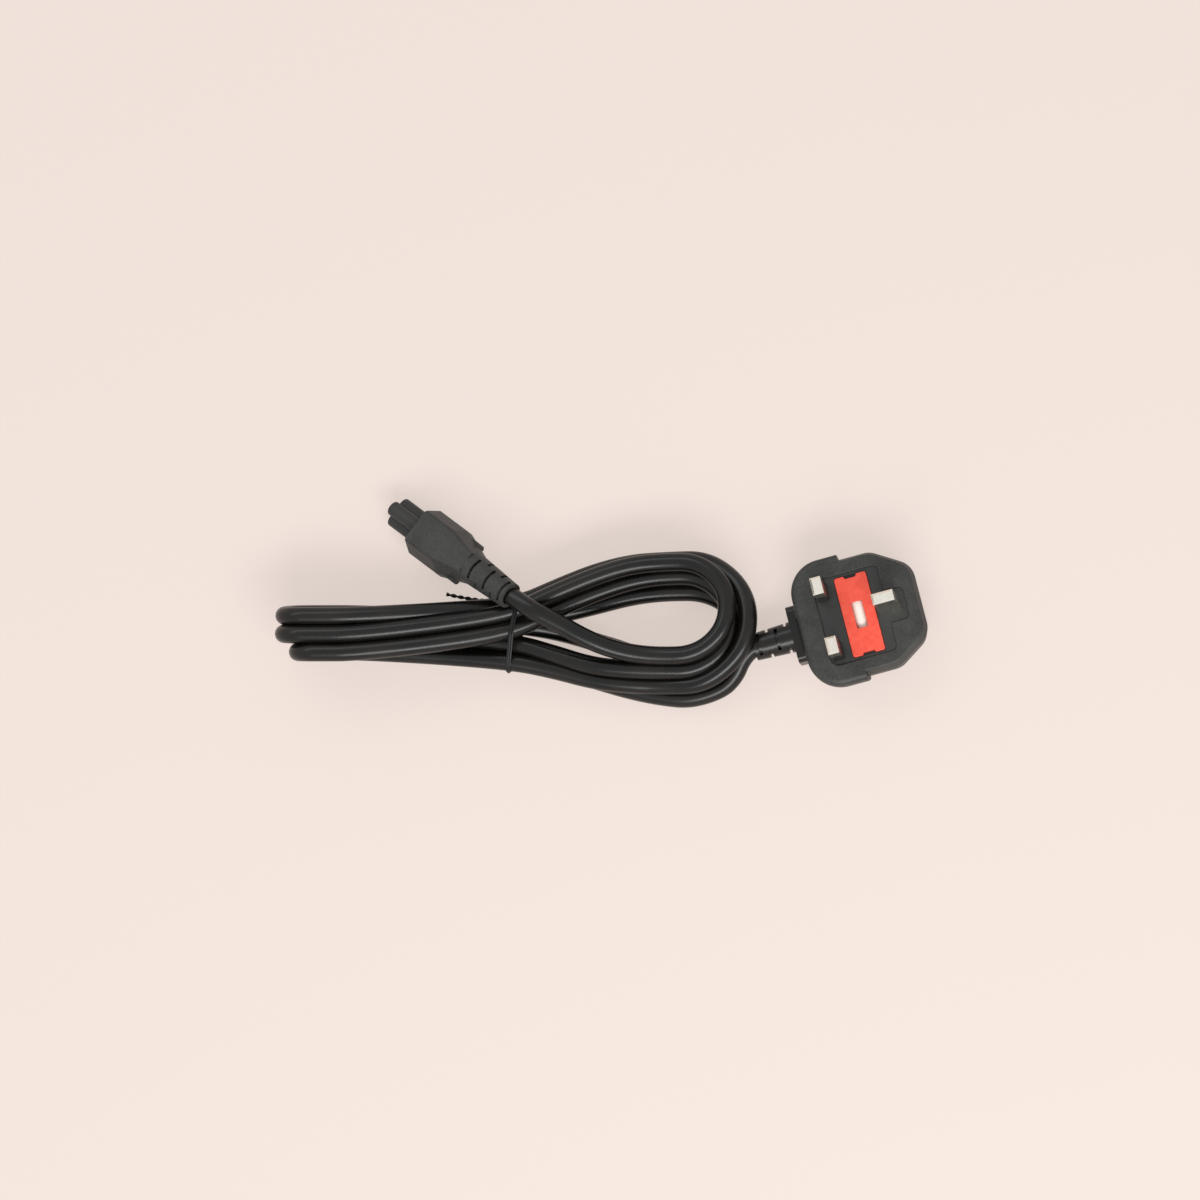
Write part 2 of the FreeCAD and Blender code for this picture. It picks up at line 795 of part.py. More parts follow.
def twist_tie():
    """A flat wire tie round the neck, with its twisted tail along the side of the hank."""
    band = neck_prism(tie_gap + tie_thickness, tie_width).cut(neck_prism(tie_gap, tie_width))
    return fuse_all([band, tube(tie_tail, tie_tail_radius, "tie_tail")])


# Placing what lies in the hank's frame, and the connector

hank_placement = FreeCAD.Placement(vector(0, 0, 0), FreeCAD.Rotation(Z, hank_turn))
connector_turn = FreeCAD.Rotation(Z, connector_yaw)
connector_turn = connector_turn.multiply(FreeCAD.Rotation(Y, -connector_pitch))
connector_turn = connector_turn.multiply(FreeCAD.Rotation(X, connector_roll))


def connector_placement(body, nose):
    """Lays the connector down so that its lowest point rests on the floor."""
    lying = FreeCAD.Placement(vector(0, 0, 0), connector_turn)
    lowest = 0.0
    for shape in (body, nose):
        lowest = min(lowest, placed(shape, lying).optimalBoundingBox().ZMin)
    spot = vector(connector_tip[0], connector_tip[1], -lowest)
    return hank_placement.multiply(FreeCAD.Placement(spot, connector_turn))


nodes = {}

# Plug's inner pieces
neutral_tail = neutral_crimp_height - crimp_radius - crimp_tail_margin
earth_tail = earth_crimp_height - crimp_radius - crimp_tail_margin
nodes["line_pin"] = live_pin(live_y, clip_base - crimp_tail_margin)
nodes["neutral_pin"] = live_pin(-live_y, neutral_tail)
nodes["earth_pin"] = earth_pin(earth_tail)
nodes["line_pin_sleeve"] = pin_sleeve(live_y, nodes["line_pin"])
nodes["neutral_pin_sleeve"] = pin_sleeve(-live_y, nodes["neutral_pin"])
nodes["fuse_carrier"] = fuse_carrier()
nodes["fuse_barrel"] = fuse_barrel()
nodes["fuse_line_cap"] = fuse_cap(1)
nodes["fuse_load_cap"] = fuse_cap(-1)
nodes["line_fuse_clip"] = line_fuse_clip()
nodes["load_fuse_clip"] = load_fuse_clip()
nodes["neutral_crimp"] = crimp(neutral_face, -live_y, neutral_crimp_height)
nodes["earth_crimp"] = crimp(earth_face, 0, earth_crimp_height)
for name, route in core_routes().items():
    nodes["plug_" + name + "_core"] = tube(route, core_radius, "plug_" + name + "_core")
inner_names = [
    "line_pin", "neutral_pin", "earth_pin", "line_fuse_clip", "load_fuse_clip",
    "neutral_crimp", "earth_crimp", "plug_line_core", "plug_neutral_core", "plug_earth_core",
]
inner = [nodes[name] for name in inner_names]

# Bridge and overmould
bridge = prism(bridge_corners(), bridge_bottom, bridge_top)
nodes["pin_bridge"] = cut_all(bridge, pocket() + inner)
window = prism(bridge_corners(), bridge_bottom, face_z)
sheath_end = rod((cable_x, 0, cord_exit_height), X, cord_radius + cord_clearance, sheath_in_plug)
recessed = plug_outside().cut(window)
reach = window.BoundBox
recessed = rounded(recessed, face_z, recess_edge_round, reach.isInside)
nodes["plug_body"] = cut_all(recessed, [sheath_end, guard_neck()] + inner)
nodes["plug_cord_guard"] = plug_cord_guard()

# Connector
sockets = {name: contact_tube(y, z) for name, (y, z) in contacts.items()}
nose = connector_nose()
cores = {name: connector_core(name) for name in contacts}
shell = connector_body([cloverleaf(nose_length, shank_end)] + list(cores.values()))
lay = connector_placement(shell, nose)
nodes["connector_nose"] = placed(nose, lay)
nodes["connector_body"] = placed(shell, lay)
for name in contacts:
    nodes["connector_" + name + "_contact"] = placed(sockets[name], lay)
    nodes["connector_" + name + "_core"] = placed(cores[name], lay)

# Hank, tie and the cord's two runs
nodes["cord_hank"] = placed(cord_hank(), hank_placement)
nodes["twist_tie"] = placed(twist_tie(), hank_placement)
lead_points = [(cable_x + sheath_in_plug, 0, cord_exit_height), (exit_x - lead_straight, 0, cord_exit_height)]
lead_points += [tuple(hank_placement.multVec(vector(*p))) for p in lead_route]
nodes["cord_lead"] = tube(lead_points, cord_radius, "cord_lead")
tail_start = lay.multVec(vector(sheath_x, 0, 0))
tail_clear = lay.multVec(vector(connector_length + cord_diameter, 0, 0))
tail_points = [tuple(tail_start), tuple(tail_clear)]
tail_points += [tuple(hank_placement.multVec(vector(*p))) for p in tail_route]
nodes["cord_tail"] = tube(tail_points, cord_radius, "cord_tail")

os.makedirs("parts", exist_ok=True)
for name, shape in nodes.items():
    if not shape.isValid() or len(shape.Solids) != 1:
        print("check", name, "valid", shape.isValid(), "solids", len(shape.Solids))
    shape.exportStep("parts/" + name + ".step")
print(len(nodes), "nodes")
for name, (y, z) in contacts.items():
    entry = lay.multVec(vector(0, y, z))
    print(name, "entry", [round(v, 6) for v in entry])
print("connector axis out of the nose", [round(v, 9) for v in lay.Rotation.multVec(vector(-1, 0, 0))])
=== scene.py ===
import math

import bmesh
import bpy
from mathutils import Matrix, Vector


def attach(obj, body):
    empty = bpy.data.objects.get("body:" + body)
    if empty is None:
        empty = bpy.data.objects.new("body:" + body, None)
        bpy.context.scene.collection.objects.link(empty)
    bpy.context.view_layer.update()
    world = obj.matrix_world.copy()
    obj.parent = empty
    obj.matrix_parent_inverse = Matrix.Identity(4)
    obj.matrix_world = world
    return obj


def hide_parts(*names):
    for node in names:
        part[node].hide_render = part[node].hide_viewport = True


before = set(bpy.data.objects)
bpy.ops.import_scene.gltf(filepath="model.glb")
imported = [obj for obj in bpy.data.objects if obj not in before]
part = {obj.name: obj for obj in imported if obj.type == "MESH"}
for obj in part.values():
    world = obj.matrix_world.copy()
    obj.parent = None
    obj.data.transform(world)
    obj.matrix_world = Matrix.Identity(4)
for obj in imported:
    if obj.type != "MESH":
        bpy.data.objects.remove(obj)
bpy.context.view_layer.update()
bpy.context.scene.view_settings.view_transform = "Standard"

# Pins: solid brass blades, nickel plated, pressed into the bridge. The plate has a warm, pale satin
# shine with faint drawing lines along the blade. The fuse's end caps are plated in the same way.


def linear(code, alpha=1.0):
    """A six-figure sRGB colour as linear red, green, blue and alpha."""
    shares = [int(code[i:i + 2], 16) / 255 for i in (0, 2, 4)]
    return [s / 12.92 if s <= 0.04045 else ((s + 0.055) / 1.055) ** 2.4 for s in shares] + [alpha]


def add(tree, kind, inputs=None, **settings):
    """A shader node with its settings. Each input is a value or another node's output."""
    made = tree.nodes.new(kind)
    for name, value in settings.items():
        setattr(made, name, value)
    for socket, value in (inputs or {}).items():
        if isinstance(value, bpy.types.NodeSocket):
            tree.links.new(value, made.inputs[socket])
        else:
            made.inputs[socket].default_value = value
    return made


def finish_named(name):
    """An empty node material, its tree and its Object coordinates."""
    material = bpy.data.materials.new(name)
    material.use_nodes = True
    material.node_tree.nodes.clear()
    place = add(material.node_tree, "ShaderNodeTexCoord").outputs["Object"]
    return material, material.node_tree, place


def per_mm(size):
    """The texture scale that makes one pattern cell that many millimetres wide."""
    return 1000.0 / size


def wear(names, material):
    """Puts one material on CAD nodes, in place of what they came with."""
    for name in names:
        slots = part[name].data.materials
        slots.clear()
        slots.append(material)


nickel, tree, place = finish_named("satin_nickel_plate")
drawn = add(tree, "ShaderNodeMapping", {"Vector": place, "Scale": (1, 1, 0.06)})
lines = add(tree, "ShaderNodeTexNoise", {"Vector": drawn.outputs[0], "Scale": per_mm(0.7), "Detail": 3.0})
tone = add(tree, "ShaderNodeValToRGB", {"Fac": lines.outputs["Fac"]})
tone.color_ramp.elements[0].color = linear("DDD7C8")
tone.color_ramp.elements[1].color = linear("F6F2E8")
gloss = add(tree, "ShaderNodeMapRange", {"Value": lines.outputs["Fac"], "To Min": 0.16, "To Max": 0.26})
bump = add(tree, "ShaderNodeBump", {"Height": lines.outputs["Fac"], "Strength": 0.08, "Distance": 0.0002})
shader = add(tree, "ShaderNodeBsdfPrincipled", {
    "Base Color": tone.outputs["Color"], "Roughness": gloss.outputs[0], "Normal": bump.outputs[0],
    "Metallic": 1.0,
})
add(tree, "ShaderNodeOutputMaterial", {"Surface": shader.outputs[0]})
wear(["earth_pin", "line_pin", "neutral_pin", "fuse_line_cap", "fuse_load_cap"], nickel)

# Sleeves: black nylon moulded round the base of the line and neutral blades, flush with the bare metal
# above. Smooth from a polished mould, so they are blacker and glossier than the overmould.
nylon, tree, place = finish_named("polished_black_nylon")
cloud = add(tree, "ShaderNodeTexNoise", {"Vector": place, "Scale": per_mm(2.5), "Detail": 2.0})
gloss = add(tree, "ShaderNodeMapRange", {"Value": cloud.outputs["Fac"], "To Min": 0.28, "To Max": 0.42})
shader = add(tree, "ShaderNodeBsdfPrincipled", {
    "Base Color": linear("1C1C1B"), "Roughness": gloss.outputs[0], "IOR": 1.53,
})
add(tree, "ShaderNodeOutputMaterial", {"Surface": shader.outputs[0]})
wear(["line_pin_sleeve", "neutral_pin_sleeve"], nylon)

# Fuse carrier and fuse: a red ABS lid that is levered out of the pin face, with a window over a plain
# white ceramic fuse. The lid is moulded glossy and has worn slightly dull.
red, tree, place = finish_named("moulded_red_abs")
mottle = add(tree, "ShaderNodeTexNoise", {"Vector": place, "Scale": per_mm(1.6), "Detail": 4.0})
tone = add(tree, "ShaderNodeValToRGB", {"Fac": mottle.outputs["Fac"]})
tone.color_ramp.elements[0].position = 0.3
tone.color_ramp.elements[0].color = linear("D8432F")
tone.color_ramp.elements[1].position = 0.7
tone.color_ramp.elements[1].color = linear("E4523C")
gloss = add(tree, "ShaderNodeMapRange", {"Value": mottle.outputs["Fac"], "To Min": 0.38, "To Max": 0.55})
bump = add(tree, "ShaderNodeBump", {"Height": mottle.outputs["Fac"], "Strength": 0.1, "Distance": 0.0002})
shader = add(tree, "ShaderNodeBsdfPrincipled", {
    "Base Color": tone.outputs["Color"], "Roughness": gloss.outputs[0], "Normal": bump.outputs[0],
    "IOR": 1.52,
})
add(tree, "ShaderNodeOutputMaterial", {"Surface": shader.outputs[0]})
wear(["fuse_carrier"], red)

ceramic, tree, place = finish_named("unglazed_white_ceramic")
speck = add(tree, "ShaderNodeTexNoise", {"Vector": place, "Scale": per_mm(0.8), "Detail": 3.0})
tone = add(tree, "ShaderNodeValToRGB", {"Fac": speck.outputs["Fac"]})
tone.color_ramp.elements[0].color = linear("E2DED2")
tone.color_ramp.elements[1].color = linear("F4F1E8")
shader = add(tree, "ShaderNodeBsdfPrincipled", {
    "Base Color": tone.outputs["Color"], "Roughness": 0.5, "IOR": 1.6,
})
add(tree, "ShaderNodeOutputMaterial", {"Surface": shader.outputs[0]})
wear(["fuse_barrel"], ceramic)

# Clips, crimps and sockets: pressed brass strip and turned brass tubes, left bright. They grip the fuse,
# the cores and the pins of the appliance, inside the mouldings.
brass, tree, place = finish_named("bright_pressed_brass")
tarnish = add(tree, "ShaderNodeTexNoise", {"Vector": place, "Scale": per_mm(1.2), "Detail": 3.0})
tone = add(tree, "ShaderNodeValToRGB", {"Fac": tarnish.outputs["Fac"]})
tone.color_ramp.elements[0].color = linear("A8843E")
tone.color_ramp.elements[1].color = linear("D9BC73")
shader = add(tree, "ShaderNodeBsdfPrincipled", {
    "Base Color": tone.outputs["Color"], "Roughness": 0.32, "Metallic": 1.0,
})
add(tree, "ShaderNodeOutputMaterial", {"Surface": shader.outputs[0]})
wear([
    "line_fuse_clip", "load_fuse_clip", "neutral_crimp", "earth_crimp",
    "connector_line_contact", "connector_neutral_contact", "connector_earth_contact",
], brass)

# Cores: the cord's three insulated conductors, in brown, blue, and green with a yellow stripe. Plain
# extruded PVC, seen only where a piece is taken away.
core_colours = [
    ("line", "6A3A1C", "75431F"),
    ("neutral", "1F4FA0", "2557AC"),
    ("earth", "2F8A35", "E3D23A"),
]
for core, first, second in core_colours:
    insulation, tree, place = finish_named("extruded_pvc_" + core)
    band = add(tree, "ShaderNodeTexWave", {"Vector": place, "Scale": per_mm(12.0), "Distortion": 0.6})
    tone = add(tree, "ShaderNodeValToRGB", {"Fac": band.outputs["Fac"]})
    tone.color_ramp.elements[0].position = 0.55
    tone.color_ramp.elements[0].color = linear(first)
    tone.color_ramp.elements[1].position = 0.6
    tone.color_ramp.elements[1].color = linear(second)
    shader = add(tree, "ShaderNodeBsdfPrincipled", {"Base Color": tone.outputs["Color"], "Roughness": 0.45})
    add(tree, "ShaderNodeOutputMaterial", {"Surface": shader.outputs[0]})
    wear(["plug_" + core + "_core", "connector_" + core + "_core"], insulation)

# Bridge: the inner black nylon moulding that carries the pins. Its face lies just below the rim of the
# overmould and is a little smoother than it.
bridge, tree, place = finish_named("moulded_black_nylon")
haze = add(tree, "ShaderNodeTexNoise", {"Vector": place, "Scale": per_mm(3.0), "Detail": 4.0})
tone = add(tree, "ShaderNodeValToRGB", {"Fac": haze.outputs["Fac"]})
tone.color_ramp.elements[0].color = linear("212220")
tone.color_ramp.elements[1].color = linear("313230")
gloss = add(tree, "ShaderNodeMapRange", {"Value": haze.outputs["Fac"], "To Min": 0.42, "To Max": 0.6})
shader = add(tree, "ShaderNodeBsdfPrincipled", {
    "Base Color": tone.outputs["Color"], "Roughness": gloss.outputs[0], "IOR": 1.53,
    "Specular IOR Level": 0.35,
})
add(tree, "ShaderNodeOutputMaterial", {"Surface": shader.outputs[0]})
wear(["pin_bridge", "connector_nose"], bridge)

# Overmould and connector shell: soft black PVC injected round the inner parts. The mould is
# spark-eroded, so the skin is a dull dark grey with a fine grain, paler where it has been handled. The
# real grit is about 0.2 mm; here it is 0.9 mm wide, because a finer one would not show.
pvc, tree, place = finish_named("spark_eroded_pvc")
grit = add(tree, "ShaderNodeTexNoise", {
    "Vector": place, "Scale": per_mm(0.9), "Detail": 5.0, "Roughness": 0.6,
})
handled = add(tree, "ShaderNodeTexNoise", {"Vector": place, "Scale": per_mm(9.0), "Detail": 3.0})
mixed = add(tree, "ShaderNodeMix", {"A": grit.outputs["Fac"], "B": handled.outputs["Fac"], "Factor": 0.45})
tone = add(tree, "ShaderNodeValToRGB", {"Fac": mixed.outputs[0]})
tone.color_ramp.elements[0].position = 0.32
tone.color_ramp.elements[0].color = linear("222221")
tone.color_ramp.elements[1].position = 0.68
tone.color_ramp.elements[1].color = linear("3E3E3B")
gloss = add(tree, "ShaderNodeMapRange", {"Value": grit.outputs["Fac"], "To Min": 0.4, "To Max": 0.58})
bump = add(tree, "ShaderNodeBump", {"Height": grit.outputs["Fac"], "Strength": 0.22, "Distance": 0.0003})
shader = add(tree, "ShaderNodeBsdfPrincipled", {
    "Base Color": tone.outputs["Color"], "Roughness": gloss.outputs[0], "Normal": bump.outputs[0],
    "IOR": 1.53, "Specular IOR Level": 0.3,
})
add(tree, "ShaderNodeOutputMaterial", {"Surface": shader.outputs[0]})
wear(["plug_body", "connector_body"], pvc)

# Flex: one length of round three-core cord in a black PVC sheath, folded into four long turns. It comes
# out of the plug's guard, the turns are drawn together at the tie, and it ends in the connector.
mm = 0.001
flex_width = 6.8
hank_angle = -15.2
hank_turn = Matrix.Rotation(math.radians(hank_angle), 3, "Z")
flex_start = (-21.3, 0.0, 8.5)
flex_in_guard = (-35.6, 0.0, 8.5)
flex_straight = (-41.5, 0.0, 8.5)
flex_lead = [(-44.0, -15.3, 7.8), (-46.2, -20.5, 6.5), (-51.0, -25.4, 5.0), (-62.5, -29.0, 4.0)]
flex_tail = [(-74.5, -15.0, 17.0), (-87.0, -13.4, 18.6), (-98.0, -9.6, 21.4), (-109.0, -3.6, 24.0)]

# Each turn runs out from the ring through the neck to its fold, and back. A place is (y, z) in the
# hank's own frame, in millimetres, at each of the stations in ways_x: from the ring to the neck, then the
# folded end. The ring's end by the plug is lifted where a strand passes over the lead or its neighbour.
ways_x = [-73.0, -85.0, -98.0, -112.0, -126.5, -184.0]
neck_x, lobe_x = ways_x[-2:]
half_way_x = (neck_x + lobe_x) / 2
turns = [
    {"out": [(-28.0, 3.5), (-25.6, 3.5), (-21.8, 3.5), (-17.4, 3.8), (-12.6, 4.7), (-11.0, 3.4)],
     "back": [(10.4, 3.5), (9.0, 3.5), (5.6, 3.5), (2.2, 3.7), (1.0, 4.7), (2.4, 3.4)],
     "fold": -199.7, "ring_end": -45.0, "lift": 0.0},
    {"out": [(-17.4, 3.5), (-11.9, 3.5), (-7.9, 3.6), (-4.0, 5.0), (-2.4, 10.6), (1.6, 10.2)],
     "back": [(21.4, 6.0), (20.6, 6.0), (17.4, 6.0), (11.6, 6.9), (4.4, 10.6), (-1.2, 25.0)],
     "fold": -210.6, "ring_end": -40.8, "lift": 7.7},
    {"out": [(-24.6, 8.8), (-24.2, 9.3), (-22.6, 9.3), (-18.9, 9.8), (-16.0, 10.6), (-12.0, 10.2)],
     "back": [(15.3, 10.0), (13.4, 10.0), (9.0, 10.0), (3.0, 11.3), (-5.8, 16.5), (-14.3, 24.6)],
     "fold": -205.3, "ring_end": -47.4, "lift": 0.0},
    {"out": [(-19.6, 13.4), (-19.3, 13.4), (-18.0, 13.4), (-13.5, 12.0), (-9.2, 10.6), (-5.2, 10.2)],
     "back": [(19.4, 16.4), (18.1, 16.4), (13.9, 16.4), (8.0, 16.4), (1.0, 16.5), (-7.8, 25.2)],
     "fold": -210.6, "ring_end": -48.0, "lift": 1.8},
]
last_out = (-14.6, 17.0)
ring_x = -66.0
to_lobe = 0.6

# Four points lead the cord round each half circle. They stand out past it, because the curve cuts inside
# its points.
half_leg = math.radians(22.5)
fold_angles = [half_leg * legs for legs in (-3, -1, 1, 3)]
corner_reach = 1 / math.cos(half_leg)


def between(first, second, share):
    """A place part of the way from one (y, z) to another."""
    return (first[0] + (second[0] - first[0]) * share, first[1] + (second[1] - first[1]) * share)


hank = []
for number, turn in enumerate(turns):
    neck, lobe = turn["out"][-2:]
    back_neck, back_lobe = turn["back"][-2:]
    hank += [(x, *place) for x, place in zip(ways_x[:-1], turn["out"])]
    hank.append((half_way_x, *between(neck, lobe, to_lobe)))
    hank.append((lobe_x, *lobe))
    half_y = (back_lobe[0] - lobe[0]) / 2
    half_z = (back_lobe[1] - lobe[1]) / 2
    radius = math.hypot(half_y, half_z)
    run_end = turn["fold"] + radius * math.sqrt(2)
    hank.append((run_end, *lobe))
    for angle in fold_angles:
        across = math.sin(angle) * corner_reach
        hank.append((
            turn["fold"] + radius - radius * math.cos(angle) * corner_reach,
            lobe[0] + half_y * (1 + across),
            lobe[1] + half_z * (1 + across),
        ))
    hank.append((run_end, *back_lobe))
    hank.append((lobe_x, *back_lobe))
    hank.append((half_way_x, *between(back_neck, back_lobe, to_lobe)))
    hank += [(x, *place) for x, place in reversed(list(zip(ways_x[:-1], turn["back"])))]
    back_ring = turn["back"][0]
    next_ring = turns[number + 1]["out"][0] if number + 1 < len(turns) else last_out
    middle = between(back_ring, next_ring, 0.5)
    for angle in reversed(fold_angles):
        across = math.sin(angle) * corner_reach
        reach = (turn["ring_end"] - ring_x) * corner_reach
        hank.append((
            ring_x + reach * math.cos(angle),
            middle[0] + (back_ring[0] - middle[0]) * across,
            middle[1] + (back_ring[1] - middle[1]) * across + turn["lift"] * math.cos(angle) * corner_reach,
        ))

# The flex runs into the connector along its axis. It comes clear of the boot, and ends inside it, at these
# distances back from the middle of the nose.
boot_clear = 68.3
boot_inside = 43.0
connector_axis = Vector((-0.58412, 0.74495, -0.32227))
entry_middle = (Vector((-153.434, 86.228, 2.594)) + Vector((-158.302, 82.388, 2.543))) / 2
earth_entry = Vector((-156.773, 85.400, 6.734))
nose_middle = (entry_middle + earth_entry) / 2
tail_clear = nose_middle - connector_axis * boot_clear
tail_end = nose_middle - connector_axis * boot_inside

route = [Vector(flex_start), Vector(flex_in_guard), Vector(flex_straight)]
route += [hank_turn @ Vector(p) for p in flex_lead + hank + flex_tail]
route += [tail_clear, tail_end]
line = bpy.data.curves.new("flex", "CURVE")
line.dimensions = "3D"
line.bevel_depth = flex_width / 2 * mm
line.bevel_resolution = 6
line.resolution_u = 10
line.use_fill_caps = True
spline = line.splines.new("NURBS")
spline.points.add(len(route) - 1)
for point, spot in zip(spline.points, route):
    point.co = (*(spot * mm), 1.0)
spline.order_u = 3
spline.use_endpoint_u = True
flex = bpy.data.objects.new("flex", line)
bpy.context.collection.objects.link(flex)

# The sheath is extruded, so it is smoother than the mouldings: a soft sheen along each strand, with
# faint dull patches 15 mm or so long from handling.
extruded, tree, place = finish_named("extruded_black_pvc")
rubbed = add(tree, "ShaderNodeTexNoise", {"Vector": place, "Scale": per_mm(15.0), "Detail": 4.0})
tone = add(tree, "ShaderNodeValToRGB", {"Fac": rubbed.outputs["Fac"]})
tone.color_ramp.elements[0].position = 0.3
tone.color_ramp.elements[0].color = linear("0A0908")
tone.color_ramp.elements[1].position = 0.75
tone.color_ramp.elements[1].color = linear("191714")
gloss = add(tree, "ShaderNodeMapRange", {"Value": rubbed.outputs["Fac"], "To Min": 0.22, "To Max": 0.33})
shader = add(tree, "ShaderNodeBsdfPrincipled", {
    "Base Color": tone.outputs["Color"], "Roughness": gloss.outputs[0], "IOR": 1.53,
    "Specular IOR Level": 0.27,
})
add(tree, "ShaderNodeOutputMaterial", {"Surface": shader.outputs[0]})
line.materials.append(extruded)

# The plug's guard is moulded from the same black compound as the sheath, so it is darker than the
# overmould that grips its neck.
wear(["plug_cord_guard"], extruded)

# Tie: a narrow strip of black polythene with a steel wire along its middle, wound aslant round the neck
# of the turns, with its ends twisted together at the side. The strip is smooth and a little waxy.
tie_middle = (-126.6, -7.2)
tie_slant = 0.17
tie_clear = 0.05
tie_section = [
    (-0.85, 0.0), (0.85, 0.0), (0.85, 0.3), (0.45, 0.35),
    (0.25, 0.8), (-0.25, 0.8), (-0.45, 0.35), (-0.85, 0.3),
]
neck_strands = [(1.0, 16.5), (-5.8, 16.5), (-16.0, 10.6), (-12.6, 4.7), (1.0, 4.7), (4.4, 10.6)]
neck_corners = [Vector(strand) for strand in neck_strands]
corner_steps = 6
same_place = 0.01
tail_points = [Vector((-126.5, 6.5, 5.5)), Vector((-140.0, 6.4, 5.8)), Vector((-153.2, 9.5, 6.0))]
tail_section = [
    (-0.7, -0.2), (-0.35, -0.35), (0.0, -0.15), (0.35, -0.35), (0.7, -0.2),
    (0.7, 0.2), (0.35, 0.35), (0.0, 0.15), (-0.35, 0.35), (-0.7, 0.2),
]
tail_steps = 72
tail_turns = 5


def section_ring(shape, corners):
    """A closed ring of edges through the corners of a section."""
    made = [shape.verts.new(corner) for corner in corners]
    return [shape.edges.new(pair) for pair in zip(made[1:] + made[:1], made)]


def draw_on(shape, ring, move):
    """Draws a ring of edges on by one move, and gives the new ring."""
    made = bmesh.ops.extrude_edge_only(shape, edges=ring)["geom"]
    moved = [item for item in made if isinstance(item, bmesh.types.BMVert)]
    bmesh.ops.transform(shape, matrix=move, verts=moved)
    return [item for item in made if isinstance(item, bmesh.types.BMEdge) and item.is_boundary]


def tail_frame(step):
    """The place, heading and twist of the tail's section after so many steps."""
    t = step / tail_steps
    near, bend, far = tail_points
    spot = near * (1 - t) ** 2 + bend * 2 * t * (1 - t) + far * t ** 2
    heading = ((bend - near) * (1 - t) + (far - bend) * t).normalized()
    side = heading.cross(Vector((0, 0, 1))).normalized()
    stand = Matrix((side, side.cross(heading), heading)).transposed()
    twist = Matrix.Rotation(math.tau * tail_turns * t, 3, heading)
    return Matrix.Translation(spot) @ (twist @ stand).to_4x4()


# The strip is drawn square round the outer strands of the neck, from one to the next, and joined to its
# start. Then it is slanted as a whole.
strip = bmesh.new()
tie_inside = flex_width / 2 + tie_clear
ring = section_ring(strip, [(along, tie_inside + height, 0) for along, height in tie_section])
run_in = neck_corners[0] - neck_corners[-1]
start_angle = math.atan2(-run_in[0], run_in[1])
start = Matrix.Translation((0, *neck_corners[0])) @ Matrix.Rotation(start_angle, 4, "X")
bmesh.ops.transform(strip, matrix=start, verts=strip.verts)
for number, corner in enumerate(neck_corners):
    run_in = corner - neck_corners[number - 1]
    run_on = neck_corners[(number + 1) % len(neck_corners)] - corner
    centre = Matrix.Translation((0, *corner))
    bend = centre @ Matrix.Rotation(run_in.angle(run_on) / corner_steps, 4, "X") @ centre.inverted()
    for step in range(corner_steps):
        ring = draw_on(strip, ring, bend)
    ring = draw_on(strip, ring, Matrix.Translation((0, *run_on)))
bmesh.ops.remove_doubles(strip, verts=strip.verts, dist=same_place)
slant = Matrix((
    (1, tie_slant, 0, tie_middle[0] - tie_slant * tie_middle[1]),
    (0, 1, 0, 0),
    (0, 0, 1, 0),
    (0, 0, 0, 1),
))
bmesh.ops.transform(strip, matrix=slant, verts=strip.verts)

# The tail is drawn out from the side of the neck, and both its ends are closed.
tail_start = section_ring(strip, [tail_frame(0) @ Vector((a, b, 0)) for a, b in tail_section])
ring = tail_start
for step in range(tail_steps):
    ring = draw_on(strip, ring, tail_frame(step + 1) @ tail_frame(step).inverted())
bmesh.ops.holes_fill(strip, edges=tail_start + ring)
bmesh.ops.transform(strip, matrix=Matrix.Scale(mm, 4) @ hank_turn.to_4x4(), verts=strip.verts)
bmesh.ops.recalc_face_normals(strip, faces=strip.faces)
tie_mesh = bpy.data.meshes.new("tie_strip")
strip.to_mesh(tie_mesh)
strip.free()
tie = bpy.data.objects.new("tie_strip", tie_mesh)
bpy.context.collection.objects.link(tie)

polythene, tree, place = finish_named("extruded_black_polythene")
waxy = add(tree, "ShaderNodeTexNoise", {"Vector": place, "Scale": per_mm(1.5), "Detail": 2.0})
gloss = add(tree, "ShaderNodeMapRange", {"Value": waxy.outputs["Fac"], "To Min": 0.36, "To Max": 0.52})
shader = add(tree, "ShaderNodeBsdfPrincipled", {
    "Base Color": linear("141413"), "Roughness": gloss.outputs[0], "IOR": 1.51,
    "Specular IOR Level": 0.25,
})
add(tree, "ShaderNodeOutputMaterial", {"Surface": shader.outputs[0]})
tie_mesh.materials.append(polythene)
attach(tie, "plug")
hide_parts("twist_tie")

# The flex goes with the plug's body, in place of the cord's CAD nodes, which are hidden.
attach(flex, "plug")
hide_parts("cord_lead", "cord_hank", "cord_tail")

# Setting: a pale matt table top, wide soft lamps overhead, and a long lens almost straight above. Where it
# is looked at, the table also glows, so that its tone stays pale and even.
table_half = 4.0
glow_share = 0.7
table = bpy.data.meshes.new("table_top")
shape = bmesh.new()
bmesh.ops.create_grid(shape, x_segments=1, y_segments=1, size=table_half)
shape.to_mesh(table)
shape.free()
table_top = bpy.data.objects.new("table_top", table)
bpy.context.collection.objects.link(table_top)


def looked_at(tree):
    """One for a ray from the eye, straight or by a shiny or clear surface, and nought for the rest."""
    ray = add(tree, "ShaderNodeLightPath")
    shiny = add(tree, "ShaderNodeMath", {
        0: ray.outputs["Is Camera Ray"], 1: ray.outputs["Is Glossy Ray"],
    }, operation="MAXIMUM")
    clear = add(tree, "ShaderNodeMath", {
        0: shiny.outputs[0], 1: ray.outputs["Is Transmission Ray"],
    }, operation="MAXIMUM")
    return clear.outputs[0]


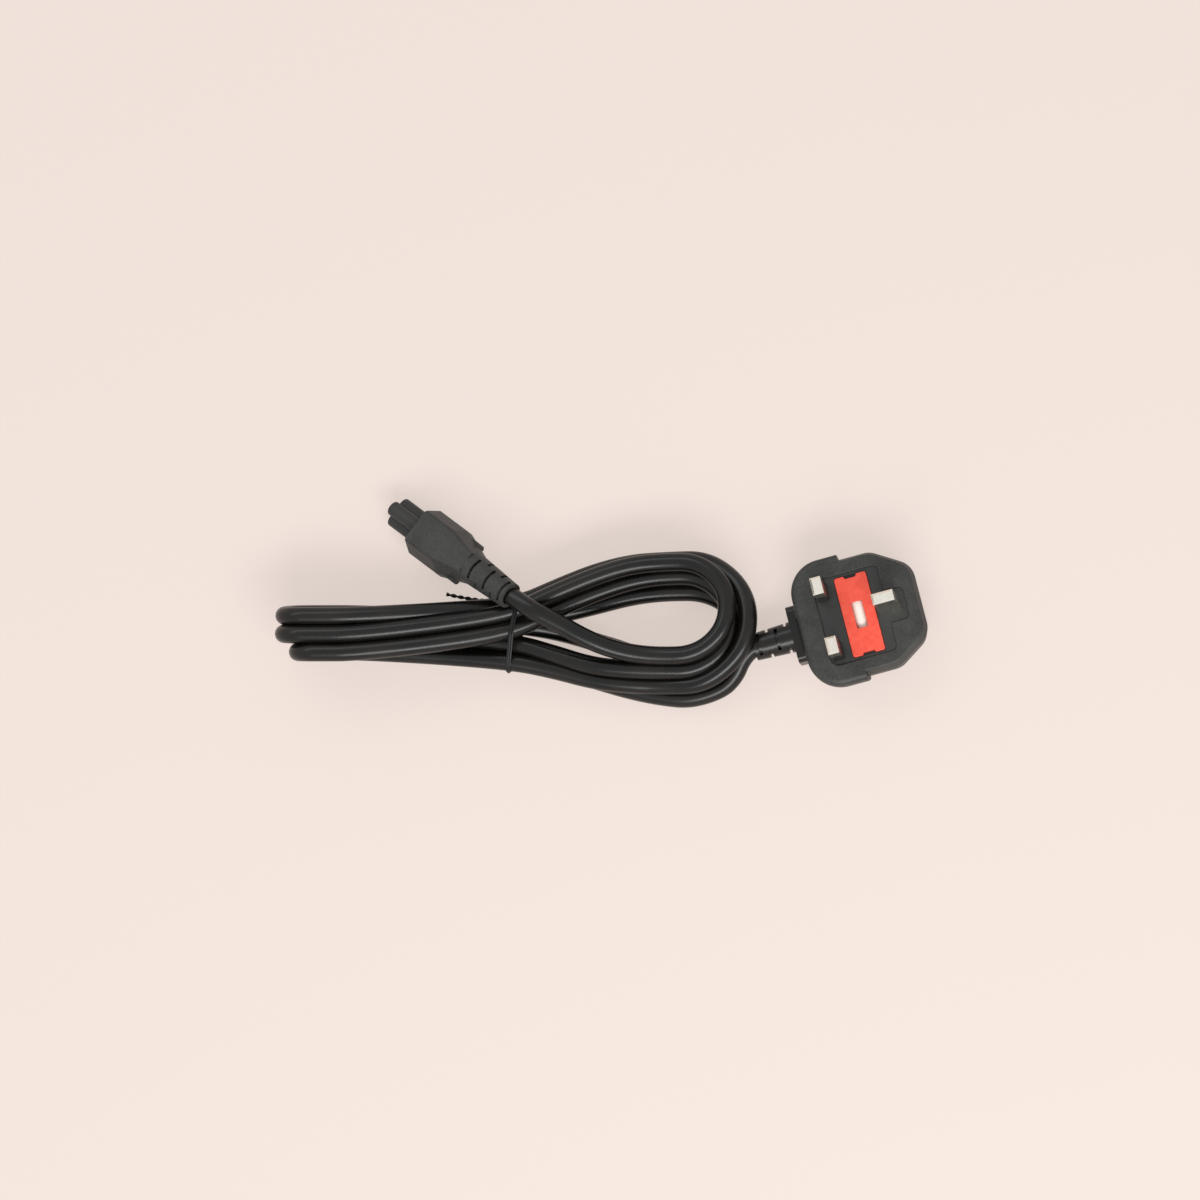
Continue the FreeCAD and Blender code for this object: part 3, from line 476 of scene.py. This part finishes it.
matt, tree = finish_named("pale_matt_laminate")[:2]
shader = add(tree, "ShaderNodeBsdfPrincipled", {"Base Color": linear("E9DAD2"), "Roughness": 0.85})
share = add(tree, "ShaderNodeMath", {0: looked_at(tree), 1: glow_share}, operation="MULTIPLY")
pale = add(tree, "ShaderNodeEmission", {"Color": linear("EDDFD7"), "Strength": 1.0})
mixed = add(tree, "ShaderNodeMixShader", {0: share.outputs[0], 1: shader.outputs[0], 2: pale.outputs[0]})
add(tree, "ShaderNodeOutputMaterial", {"Surface": mixed.outputs[0]})
table.materials.append(matt)

room = bpy.data.worlds.new("studio")
bpy.context.scene.world = room
room.use_nodes = True
tree = room.node_tree
tree.nodes.clear()
brightness = add(tree, "ShaderNodeMapRange", {"Value": looked_at(tree), "To Min": 0.62, "To Max": 1.0})
sky = add(tree, "ShaderNodeBackground", {"Color": linear("F4F4F6"), "Strength": brightness.outputs[0]})
add(tree, "ShaderNodeOutputWorld", {"Surface": sky.outputs[0]})

# The lamps and the lens are turned to about the middle of the lead.
aim = Vector((-0.0907, 0.0315, 0.010))
lamps = [
    ("back", (-0.45, 0.9, 1.15), (1.4, 0.35), 4.0),
    ("front", (0.05, -1.05, 1.05), (1.4, 0.45), 22.0),
]
for name, spot, size, power in lamps:
    light = bpy.data.lights.new(name, "AREA")
    light.shape = "RECTANGLE"
    light.size, light.size_y = size
    light.energy = power
    lamp = bpy.data.objects.new(name, light)
    lamp.location = spot
    lamp.rotation_euler = (aim - Vector(spot)).to_track_quat("-Z", "Y").to_euler()
    bpy.context.collection.objects.link(lamp)

camera_away = 2.4
to_camera = Vector((0.115, -0.177, 0.973)).normalized()
image_right = Vector((0.958, -0.240, -0.157))
image_right = (image_right - to_camera * image_right.dot(to_camera)).normalized()
image_up = to_camera.cross(image_right)
camera_data = bpy.data.cameras.new("camera")
camera_data.lens = 198.5
camera_data.sensor_width = 36.0
camera_data.clip_end = 10.0
camera = bpy.data.objects.new("camera", camera_data)
camera_turn = Matrix((image_right, image_up, to_camera)).transposed().to_4x4()
camera.matrix_world = Matrix.Translation(aim + to_camera * camera_away) @ camera_turn
bpy.context.collection.objects.link(camera)
bpy.context.scene.camera = camera
